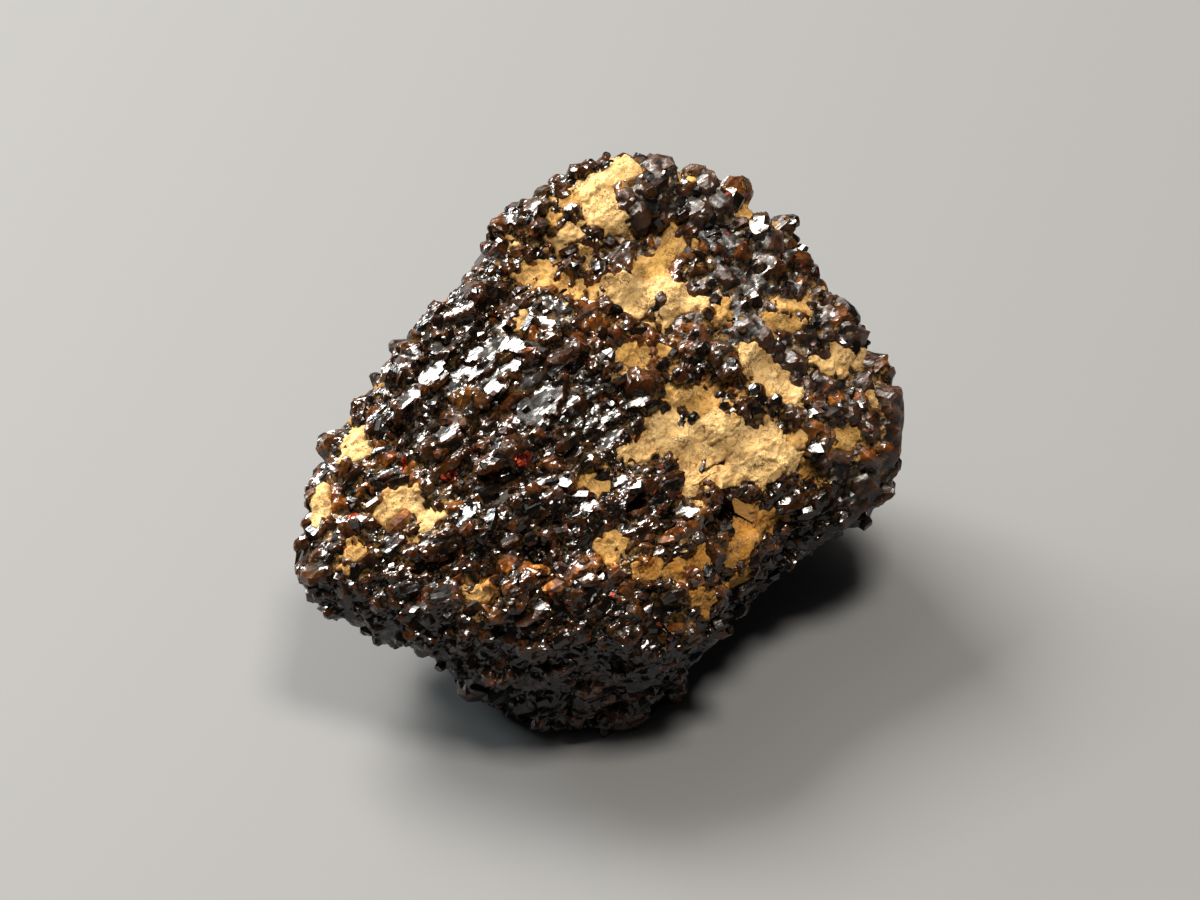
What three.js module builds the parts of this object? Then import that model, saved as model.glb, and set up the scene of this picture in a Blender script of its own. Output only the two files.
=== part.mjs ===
// A rough painite crystal, as found in gem gravel: one natural solid, blocky and undercut at the
// front, that lies on a small flat break. Its skin is a crowd of stubby six-sided crystals that
// grew together, all leaning roughly the same way.
//
// Millimetres, +Z up. The origin is under the middle of the crystal's box, on the surface it lies on.

import * as THREE from "three";
import { ConvexGeometry } from "three/addons/geometries/ConvexGeometry.js";
import { mergeVertices } from "three/addons/utils/BufferGeometryUtils.js";

// Driving dimensions: the sides of the box that the crystal just fits.
const WIDTH = 15.0;
const DEPTH = 12.2;
const HEIGHT = 9.8;

// The blocky body is the hull of these corners, [x, y, z], named by where they lie.
const CORNERS = {
  crestLeft: [-2.2, 4.3, 8.8],
  crestTop: [0.1, 5.5, 9.5],
  crestTopRight: [1.3, 5.6, 9.5],
  crestRight: [3.1, 5.3, 8.9],
  shoulderRight: [4.2, 4.3, 8.3],
  shoulderLeft: [-3.7, 2.7, 8.0],
  flankLeftHigh: [-4.9, 0.8, 7.0],
  flankLeftLow: [-6.2, -0.5, 5.9],
  tipLeftTop: [-7.4, -1.5, 5.0],
  tipLeft: [-7.7, -3.8, 4.0],
  flankRightHigh: [6.0, 3.3, 7.1],
  flankRightMiddle: [6.8, 2.1, 5.9],
  flankRightLow: [7.7, 1.2, 4.9],
  tipRight: [7.8, 0.4, 3.9],
  tipRightUnder: [7.6, -0.1, 3.1],
  faceFrontLeft: [-4.2, -4.3, 5.0],
  faceFrontMiddle: [-1.1, -4.5, 5.2],
  faceFrontRight: [2.0, -3.8, 5.1],
  faceRight: [3.2, -2.6, 5.5],
  faceRightEnd: [5.4, -0.8, 5.4],
  ridgeLeftEnd: [-5.4, -4.0, 3.6],
  ridgeLeft: [-3.9, -5.2, 3.5],
  ridgeMiddle: [-1.8, -5.6, 3.7],
  ridgeRight: [2.3, -5.2, 3.5],
  ridgeRightEnd: [3.2, -2.9, 3.0],
  underRight: [5.7, -0.8, 2.9],
  backTopLeft: [-3.4, 4.6, 5.8],
  backTopRight: [4.6, 5.8, 5.8],
  backMiddle: [0.8, 6.6, 5.2],
  backLeft: [-5.2, 3.2, 3.5],
  backRight: [6.0, 4.4, 3.4],
  backFoot: [-0.2, 5.8, 1.8],
  backFootRight: [3.7, 4.8, 1.7],
  footFrontLeft: [-2.1, -4.3, -0.4],
  footFront: [-1.0, -4.9, -0.4],
  footFrontRight: [0.7, -4.7, -0.4],
  footRight: [2.6, -1.0, -0.4],
  footBackRight: [2.9, 2.0, -0.4],
  footBack: [0.3, 3.8, -0.4],
  footBackLeft: [-2.9, 2.2, -0.4],
  footLeft: [-3.5, -1.6, -0.4],
};
// Where the body is worn or broken away: the middle [x, y, z] of a hollow, its reach and its depth.
const HOLLOWS = {
  undercutRight: { middle: [4.6, -2.6, 2.4], reach: 2.0, depth: 0.9 },
  undercutLeft: { middle: [-4.2, -4.0, 1.6], reach: 1.6, depth: 0.4 },
  basin: { middle: [2.7, -1.5, 6.3], reach: 1.5, depth: 0.35 },
  saddle: { middle: [1.2, 2.2, 8.1], reach: 1.2, depth: 0.35 },
  notch: { middle: [3.2, -2.9, 5.3], reach: 0.8, depth: 0.4 },
  trough: { middle: [-4.8, -3.3, 5.8], reach: 1.1, depth: 0.25 },
  backScoop: { middle: [1.5, 6.0, 4.6], reach: 2.4, depth: 0.5 },
};
const HEART = new THREE.Vector3(0, 0, 3.6); // the point that the skin is measured from
const EDGE_SHARPNESS = 40; // higher keeps the hull's edges sharper
const SAME_WAY = 0.9995; // hull normals whose dot product is over this count as one plane
const SKIN_DETAIL = 21; // the skin has 20 x (this + 1) squared triangles
const NET_ROUNDS = 300; // how often the skin's net is eased

// The crystals in the skin.
const GRAIN_SPACING = 0.9; // at least this far apart
const GRAIN_RADIUS = [0.5, 0.95]; // from the middle to a side face
const GRAIN_STRETCH = 1.25; // from the middle to a face of an end point, over the radius
const GRAIN_POINT = 1.1; // the rise of those faces' normals: higher makes the points blunter
const GRAIN_REACH = 1.7; // from the middle to the tip of a point, over the radius
const GRAIN_SUNK = 1.1; // how deep the middle lies under the hull, over the radius
const GRAIN_AXIS = new THREE.Vector3(0.85, 0.4, 0.35).normalize();
const GRAIN_LEAN = 0.9; // how far the axes stray from that one
const GRAIN_PROUD = 0.22; // the most that a crystal stands out of the hull
const VALLEY_DEPTH = 0.22; // the skin is this far down between the crystals
const SEED = 7;

// A small generator of random numbers from 0 to 1, the same on every run.
function randomFrom(seed) {
  let state = seed;
  return () => {
    state = (state + 0x6d2b79f5) | 0;
    let mixed = Math.imul(state ^ (state >>> 15), 1 | state);
    mixed = (mixed + Math.imul(mixed ^ (mixed >>> 7), 61 | mixed)) ^ mixed;
    return ((mixed ^ (mixed >>> 14)) >>> 0) / 2 ** 32;
  };
}

// The hull's planes, as a normal and a distance from the heart.
function hullPlanes() {
  const corners = Object.values(CORNERS).map((c) => new THREE.Vector3(...c).sub(HEART));
  const spots = new ConvexGeometry(corners).getAttribute("position");
  const planes = [];
  for (let i = 0; i < spots.count; i += 3) {
    const [a, b, c] = [0, 1, 2].map((k) => new THREE.Vector3().fromBufferAttribute(spots, i + k));
    const plane = new THREE.Plane().setFromCoplanarPoints(a, b, c);
    const outward = Math.sign(plane.normal.dot(a));
    const normal = plane.normal.multiplyScalar(outward);
    if (planes.some((other) => other.normal.dot(normal) > SAME_WAY)) continue;
    planes.push({ normal, distance: normal.dot(a) });
  }
  return planes;
}

// How far the rounded hull reaches from the heart along a direction.
function hullReach(direction, planes) {
  let sum = 0;
  for (const { normal, distance } of planes) {
    const share = direction.dot(normal) / distance;
    if (share > 0) sum += share ** EDGE_SHARPNESS;
  }
  return sum ** (-1 / EDGE_SHARPNESS);
}

// The way out of the rounded hull at a spot on it.
function hullNormal(spot, planes) {
  const normal = new THREE.Vector3();
  for (const plane of planes) {
    const share = spot.dot(plane.normal) / plane.distance;
    if (share > 0) normal.addScaledVector(plane.normal, share ** EDGE_SHARPNESS);
  }
  return normal.normalize();
}

// How deep the hollows are at a spot.
function hollowDepth(spot) {
  let depth = 0;
  for (const hollow of Object.values(HOLLOWS)) {
    const away = new THREE.Vector3(...hollow.middle).sub(HEART).distanceTo(spot) / hollow.reach;
    depth += hollow.depth * Math.exp(-away * away);
  }
  return depth;
}

// The faces of one stubby crystal, as unit normals with distances in radii from its middle:
// six sides, and a six-sided point at each end.
function grainFaces() {
  const faces = [];
  for (let k = 0; k < 6; k++) {
    const angle = (k * Math.PI) / 3;
    const side = new THREE.Vector3(Math.cos(angle), Math.sin(angle), 0);
    faces.push({ normal: side, distance: 1 });
    for (const end of [-1, 1]) {
      const slope = new THREE.Vector3(side.x, side.y, end * GRAIN_POINT).normalize();
      faces.push({ normal: slope, distance: GRAIN_STRETCH });
    }
  }
  return faces;
}

// The crystals, spread evenly over the net: each has a middle, measured from the heart, and its
// faces where they lie.
function growGrains(net, planes) {
  const random = randomFrom(SEED);
  const stray = () => (random() + random() + random() - 1.5) * GRAIN_LEAN;
  const upright = new THREE.Vector3(0, 0, 1);
  const sites = [];
  for (let i = 0; i < net.length * 3; i++) {
    const site = net[Math.floor(random() * net.length)];
    if (sites.every((other) => other.distanceTo(site) > GRAIN_SPACING)) sites.push(site);
  }
  return sites.map((site) => {
    const radius = THREE.MathUtils.lerp(...GRAIN_RADIUS, random());
    const sunk = GRAIN_SUNK * radius + hollowDepth(site);
    const middle = site.clone().addScaledVector(hullNormal(site, planes), -sunk);
    const axis = GRAIN_AXIS.clone().add(new THREE.Vector3(stray(), stray(), stray())).normalize();
    const turn = new THREE.Quaternion().setFromUnitVectors(upright, axis);
    const faces = grainFaces().map(({ normal, distance }) => {
      const turned = normal.applyQuaternion(turn);
      return { normal: turned, distance: turned.dot(middle) + distance * radius };
    });
    return { middle, size: GRAIN_REACH * radius, faces };
  });
}

// How far a crystal stands out from a spot along a direction, or 0 where it isn't met.
function grainRise(spot, direction, grain) {
  const offset = grain.middle.clone().sub(spot);
  const along = direction.dot(offset);
  if (offset.lengthSq() - along * along > grain.size * grain.size) return 0;
  let enter = -Infinity;
  let leave = Infinity;
  for (const { normal, distance } of grain.faces) {
    const slope = direction.dot(normal);
    const gap = distance - spot.dot(normal);
    if (slope > 0) leave = Math.min(leave, gap / slope);
    else enter = Math.max(enter, gap / slope);
  }
  return enter < leave ? Math.max(leave, 0) : 0;
}

// A sphere's net laid over the hull, as one vector from the heart for each corner of the net. The
// net is then eased along the hull, each point towards its further neighbours, to even it out.
function layNet(geometry, planes) {
  const spots = geometry.getAttribute("position");
  const neighbours = Array.from({ length: spots.count }, () => new Set());
  const corners = geometry.index.array;
  for (let i = 0; i < corners.length; i++) {
    const next = i % 3 === 2 ? i - 2 : i + 1;
    neighbours[corners[i]].add(corners[next]);
  }
  const onHull = (spot) => spot.setLength(hullReach(spot.clone().normalize(), planes));
  let net = neighbours.map((_, i) => onHull(new THREE.Vector3().fromBufferAttribute(spots, i)));
  for (let round = 0; round < NET_ROUNDS; round++) {
    net = net.map((spot, i) => {
      const middle = new THREE.Vector3();
      let weights = 0;
      for (const other of neighbours[i]) {
        const weight = spot.distanceTo(net[other]);
        middle.addScaledVector(net[other], weight);
        weights += weight;
      }
      return onHull(middle.divideScalar(weights).lerp(spot, 0.5));
    });
  }
  return net;
}

// The skin: the net on the valley floors, raised to the crystal that stands proudest at each point.
function crystalGeometry() {
  const planes = hullPlanes();
  const sphere = new THREE.IcosahedronGeometry(1, SKIN_DETAIL);
  sphere.deleteAttribute("normal");
  sphere.deleteAttribute("uv");
  const geometry = mergeVertices(sphere, 1e-5);
  const spots = geometry.getAttribute("position");
  const net = layNet(geometry, planes);
  const grains = growGrains(net, planes);
  net.forEach((point, i) => {
    const out = hullNormal(point, planes);
    const floor = point.clone().addScaledVector(out, -VALLEY_DEPTH - hollowDepth(point));
    const tallest = Math.max(...grains.map((grain) => grainRise(floor, out, grain)));
    const rise = Math.min(tallest, VALLEY_DEPTH + GRAIN_PROUD);
    const spot = floor.addScaledVector(out, rise).add(HEART);
    if (spot.z < 0) spot.lerp(HEART, spot.z / (spot.z - HEART.z));
    spots.setXYZ(i, spot.x, spot.y, Math.abs(spot.z) < 1e-6 ? 0 : spot.z);
  });
  return fitToBox(geometry);
}

// Scales and moves the skin so that it just fits the driving dimensions.
function fitToBox(geometry) {
  geometry.computeBoundingBox();
  const size = geometry.boundingBox.getSize(new THREE.Vector3());
  const middle = geometry.boundingBox.getCenter(new THREE.Vector3());
  geometry.translate(-middle.x, -middle.y, -geometry.boundingBox.min.z);
  geometry.scale(WIDTH / size.x, DEPTH / size.y, HEIGHT / size.z);
  return geometry;
}

const crystal = new THREE.Mesh(
  crystalGeometry(),
  new THREE.MeshStandardMaterial({ color: 0x2a1310, roughness: 0.2, metalness: 0 }),
);
crystal.name = "painite_crystal";
const part = new THREE.Group();
part.add(crystal);
export default part;
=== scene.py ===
"""A rough painite crystal on a plain pale floor, in soft studio light.

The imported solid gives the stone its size, place and blocky form. Three pieces made on it are shown: the
skin, crowded with small glassy crystals, the sharpest of those crystals, each a closed prism of its own,
and the dry clay that fills the hollows. Lengths in the classes below are millimetres, and MM turns them
into Blender's metres.
"""

import logging
import math
from dataclasses import dataclass
from enum import Enum
from typing import Union

import bmesh
import bpy
import numpy as np
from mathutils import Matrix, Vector, noise
from mathutils.kdtree import KDTree


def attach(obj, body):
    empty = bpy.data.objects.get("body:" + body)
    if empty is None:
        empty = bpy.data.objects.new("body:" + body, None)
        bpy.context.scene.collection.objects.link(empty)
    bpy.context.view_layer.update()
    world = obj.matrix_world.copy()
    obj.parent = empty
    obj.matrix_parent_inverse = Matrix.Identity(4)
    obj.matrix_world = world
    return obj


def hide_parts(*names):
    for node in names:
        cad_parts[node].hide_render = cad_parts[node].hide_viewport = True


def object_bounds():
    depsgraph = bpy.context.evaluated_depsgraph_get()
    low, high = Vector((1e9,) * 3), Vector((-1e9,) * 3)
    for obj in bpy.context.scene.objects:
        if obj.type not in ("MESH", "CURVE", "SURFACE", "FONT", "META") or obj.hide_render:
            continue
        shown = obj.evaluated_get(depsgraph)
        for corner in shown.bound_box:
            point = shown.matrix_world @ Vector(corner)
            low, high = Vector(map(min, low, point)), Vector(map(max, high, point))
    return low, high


MM = 0.001
CAD_NODE = "painite_crystal"
BODY = "root"
SIDES = 6  # of each small crystal
RINGS = 4  # of corners, from the foot to the head of each sharp crystal
LEAN_AXIS = (0.85, 0.5, 0.3)  # the way that most of the small crystals grew
GLANCE = (-0.32, -0.11, 0.94)  # a face that looks this way throws the key lamp's light at the viewpoint
CRYSTAL_EDGE = math.radians(9)  # crystal faces that meet at more than this have a sharp edge
CLAY_EDGE = math.radians(35)
LEVEL = 1e-9  # slopes under this count as level
NOISE_SEED = 1795341402  # Blender otherwise seeds its vector noise from the clock
CELL_MIX = 17.3  # parts the seeds of neighbouring cells, so that each reads its own random numbers

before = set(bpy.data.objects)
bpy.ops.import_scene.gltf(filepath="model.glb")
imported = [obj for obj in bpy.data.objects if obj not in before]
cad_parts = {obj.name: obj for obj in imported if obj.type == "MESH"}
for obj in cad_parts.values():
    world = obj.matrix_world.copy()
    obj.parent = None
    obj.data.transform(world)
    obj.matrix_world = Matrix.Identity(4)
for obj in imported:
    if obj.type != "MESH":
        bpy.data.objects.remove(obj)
CAD_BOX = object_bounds()
BOX_LOW, BOX_HIGH = (np.array(corner) / MM for corner in CAD_BOX)

log = logging.getLogger("painite")

Colour = tuple[float, float, float]
Spot = tuple[float, float, float]
Place = tuple[float, float]
Span = tuple[float, float]
Socket = bpy.types.NodeSocket
Value = Union[Socket, float, tuple]


def tint(red: int, green: int, blue: int) -> Colour:
    """A colour picked on a screen, 0 to 255, as the linear values that shaders take."""
    shares = [level / 255 for level in (red, green, blue)]
    return tuple(share / 12.92 if share < 11 / 255 else ((share + 0.055) / 1.055) ** 2.4 for share in shares)


class Zone(Enum):
    """Where on the stone a crop of small crystals grows."""

    EVERYWHERE = "everywhere"
    KNOBS = "knobs"
    BLADES = "blades"


class ClayTone(Enum):
    """The shade of a patch of clay, as the value that its material reads."""

    SAND = 0.0
    OCHRE = 0.5
    RUST = 1.0


@dataclass(frozen=True)
class Streak:
    """A stretch of the skin: all that lies within a reach of a line from start to end."""

    start: Spot
    end: Spot
    reach: float

    def nearness(self, spots: np.ndarray) -> np.ndarray:
        """How near spots lie to the line.

        Args:
            spots: places in millimetres, one a row.

        Returns:
            1 on the line, falling to 0 at the reach and below 0 past it.
        """
        start = np.array(self.start)
        along = np.array(self.end) - start
        length = along @ along
        share = np.clip((spots - start) @ along / length, 0, 1) if length > 0 else np.zeros(len(spots))
        gaps = np.linalg.norm(spots - start - share[:, None] * along, axis=1)
        return 1 - gaps / self.reach


@dataclass(frozen=True)
class Viewpoint:
    """Where the stone is looked at from: the spot looked at, how steeply, and from how far."""

    target: Spot = (-0.05, -0.08, 4.67)
    elevation: float = 45.0
    distance: float = 120.0

    def back(self) -> np.ndarray:
        """The unit direction from the spot looked at to the eye."""
        angle = math.radians(self.elevation)
        return np.array((0.0, -math.cos(angle), math.sin(angle)))

    def rise(self) -> np.ndarray:
        """The unit direction that looks upright from there."""
        angle = math.radians(self.elevation)
        return np.array((0.0, math.sin(angle), math.cos(angle)))


VIEWPOINT = Viewpoint()


@dataclass(frozen=True)
class Run:
    """A stretch of the shown side, from a start to an end, and how far it reaches about that line."""

    start: Place
    end: Place
    reach: float


class ShownSide:
    """Finds places on the side of the stone that is shown.

    A place is two lengths in millimetres, as they look from the viewpoint: how far to the right of the
    stone's middle, and how far up from the spot that it lies on.
    """

    def __init__(self, spots: np.ndarray, outward: np.ndarray) -> None:
        """Keeps the points that face the viewpoint, and how they look from there.

        Args:
            spots: points of the stone in millimetres, one a row.
            outward: its unit normals there.
        """
        self.spots = spots[outward @ VIEWPOINT.back() > 0]
        target = np.array(VIEWPOINT.target)
        self.ahead = (self.spots - target) @ VIEWPOINT.back()
        growth = VIEWPOINT.distance / (VIEWPOINT.distance - self.ahead)
        middle = np.array((target[0], target @ VIEWPOINT.rise()))
        flat = np.stack([self.spots[:, 0], self.spots @ VIEWPOINT.rise()], axis=1)
        self.looks = middle + (flat - middle) * growth[:, None]

    def spot(self, place: Place, width: float = 0.25, depth: float = 0.6) -> Spot:
        """The point of the stone at a place.

        Args:
            place: the place.
            width: how far around it the foremost point is looked for.
            depth: how far behind that point the found one may lie.

        Returns:
            The point, in millimetres.
        """
        gaps = np.linalg.norm(self.looks - np.array(place), axis=1)
        close = gaps < gaps.min() + width
        close &= self.ahead > self.ahead[close].max() - depth
        return tuple(self.spots[np.argmin(np.where(close, gaps, np.inf))])

    def streak(self, run: Run) -> Streak:
        """A run, laid on the stone."""
        return Streak(self.spot(run.start), self.spot(run.end), run.reach)


@dataclass(frozen=True)
class Patch:
    """A patch of clay: its shade, how fully it covers the crystals, and the stretches that it fills."""

    tone: ClayTone
    cover: float
    streaks: tuple[Streak, ...]


@dataclass(frozen=True)
class ShownPatch:
    """A patch of clay on the shown side, as its runs."""

    tone: ClayTone
    cover: float
    runs: tuple[Run, ...]

    def patch(self, side: ShownSide) -> Patch:
        """The patch, laid on the stone."""
        return Patch(self.tone, self.cover, tuple(side.streak(run) for run in self.runs))


@dataclass(frozen=True)
class Break:
    """A bright glassy face in the skin: its middle, its reach and the way that it faces."""

    middle: Place
    reach: float
    facing: Spot = GLANCE


@dataclass(frozen=True)
class Hollow:
    """A dip in the skin: where it runs, and how deep it is in the middle."""

    run: Run
    depth: float


@dataclass(frozen=True)
class GrainCrop:
    """One crop of small six-sided crystals that stand in the skin."""

    zone: Zone
    spacing: float
    smallest: float
    largest: float
    stretch: float
    sunk: float
    lean: float
    share: float
    seed: int
    valley: float = 0.0
    wobble: float = 0.12
    girth: Span = (0.8, 1.1)
    end_slope: Span = (0.8, 1.6)
    end_reach: Span = (0.85, 1.1)

    def faces(self, axis: np.ndarray, random: np.random.Generator) -> tuple[np.ndarray, np.ndarray]:
        """The faces of one crystal, turned and cut a little at random.

        Args:
            axis: the unit direction that the crystal grew along.
            random: the crystal's source of random numbers.

        Returns:
            Unit normals, one a row, and distances from its middle, over its radius.
        """
        helper = np.array([0.0, 0.0, 1.0]) if abs(axis[2]) < 0.9 else np.array([1.0, 0.0, 0.0])
        across = unit(np.cross(axis, helper))
        aside = np.cross(axis, across)
        spin = random.uniform(0, math.pi)
        normals, distances = [], []
        for k in range(SIDES):
            angle = spin + k * math.pi / (SIDES / 2) + random.normal(0, self.wobble)
            side = math.cos(angle) * across + math.sin(angle) * aside
            normals.append(side)
            distances.append(random.uniform(*self.girth))
            for end in (-1.0, 1.0):
                normals.append(unit(side + end * random.uniform(*self.end_slope) * axis))
                distances.append(self.stretch * random.uniform(*self.end_reach))
        return np.array(normals), np.array(distances)


@dataclass
class Body:
    """The stone's smooth body: the CAD solid cut finer, eased and dipped, which every piece is made on."""

    merge_gap: float = 1e-4
    rounds: int = 2
    easing: int = 3
    ease: float = 0.5
    hollows: tuple[Hollow, ...] = (
        Hollow(Run((3.2, 1.75), (3.7, 1.85), 0.55), 0.75),
        Hollow(Run((1.3, 8.7), (0.9, 8.4), 0.50), 0.35),
        Hollow(Run((-4.4, 0.4), (-1.2, 1.0), 0.80), 0.40),
        Hollow(Run((0.2, 1.6), (1.4, 1.9), 0.60), 0.25),
        Hollow(Run((2.4, 5.1), (3.3, 4.8), 0.45), 0.25),
        Hollow(Run((-3.6, 2.7), (-2.5, 2.4), 0.45), 0.25),
    )

    def shape(self) -> bmesh.types.BMesh:
        """Copies the CAD node's mesh, merges it, cuts each triangle finer, eases the whole and dips it.

        Returns:
            A closed shape of small even triangles.
        """
        shape = bmesh.new()
        shape.from_mesh(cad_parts[CAD_NODE].data)
        bmesh.ops.remove_doubles(shape, verts=shape.verts, dist=self.merge_gap * MM)
        for _ in range(self.rounds):
            bmesh.ops.subdivide_edges(shape, edges=shape.edges, cuts=1, use_grid_fill=True)
        bmesh.ops.triangulate(shape, faces=shape.faces)
        every_way = {"use_axis_x": True, "use_axis_y": True, "use_axis_z": True}
        for _ in range(self.easing):
            bmesh.ops.smooth_vert(shape, verts=shape.verts, factor=self.ease, **every_way)
        shape.normal_update()
        spots, outward = lie_of(shape)
        side = ShownSide(spots, outward)
        dips = np.zeros(len(spots))
        for hollow in self.hollows:
            dips += hollow.depth * smooth_step(side.streak(hollow.run).nearness(spots), 0.0, 1.0)
        for vertex, dip in zip(shape.verts, dips):
            vertex.co -= vertex.normal * (dip * MM)
        shape.normal_update()
        return shape

    def lie(self) -> tuple[np.ndarray, np.ndarray]:
        """The body's points in millimetres, one a row, and its unit normals there."""
        shape = self.shape()
        spots, outward = lie_of(shape)
        shape.free()
        return spots, outward


@dataclass
class ClayMap:
    """Where clay lies on the stone."""

    patches: tuple[Patch, ...]
    swell: float = 0.05
    ragged: float = 0.24
    ragged_size: float = 0.45
    fine_share: float = 0.7
    fineness: float = 2.7
    fine_shift: float = 9.0
    fray: float = 0.9
    fray_size: float = 0.24
    fray_bias: float = 0.15
    far_outside: float = -9.0

    def warped(self, spots: np.ndarray) -> np.ndarray:
        """Spots, in millimetres, pushed about by a noise that makes a patch's outline ragged."""
        coarse = spots / self.ragged_size
        fine = coarse * self.fineness + self.fine_shift
        push, small_push = (np.array([noise.noise_vector(Vector(s)) for s in at]) for at in (coarse, fine))
        return spots + self.ragged * (push + self.fine_share * small_push)

    def read(self, spots: np.ndarray) -> tuple[np.ndarray, np.ndarray, np.ndarray]:
        """Reads the map.

        Args:
            spots: places on the body in millimetres, one a row.

        Returns:
            How far inside a patch each lies (under 0 outside), and that patch's shade and cover.
        """
        moved = self.warped(spots)
        inside = np.full(len(spots), self.far_outside)
        shade = np.zeros(len(spots))
        cover = np.zeros(len(spots))
        for patch in self.patches:
            for streak in patch.streaks:
                near = streak.nearness(moved) * streak.reach + self.swell
                better = near > inside
                inside = np.where(better, near, inside)
                shade = np.where(better, patch.tone.value, shade)
                cover = np.where(better, patch.cover, cover)
        flecks = soft_noise(spots, self.fray_size)
        return inside - self.fray * (1 - cover) * (flecks + self.fray_bias), shade, cover


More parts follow.
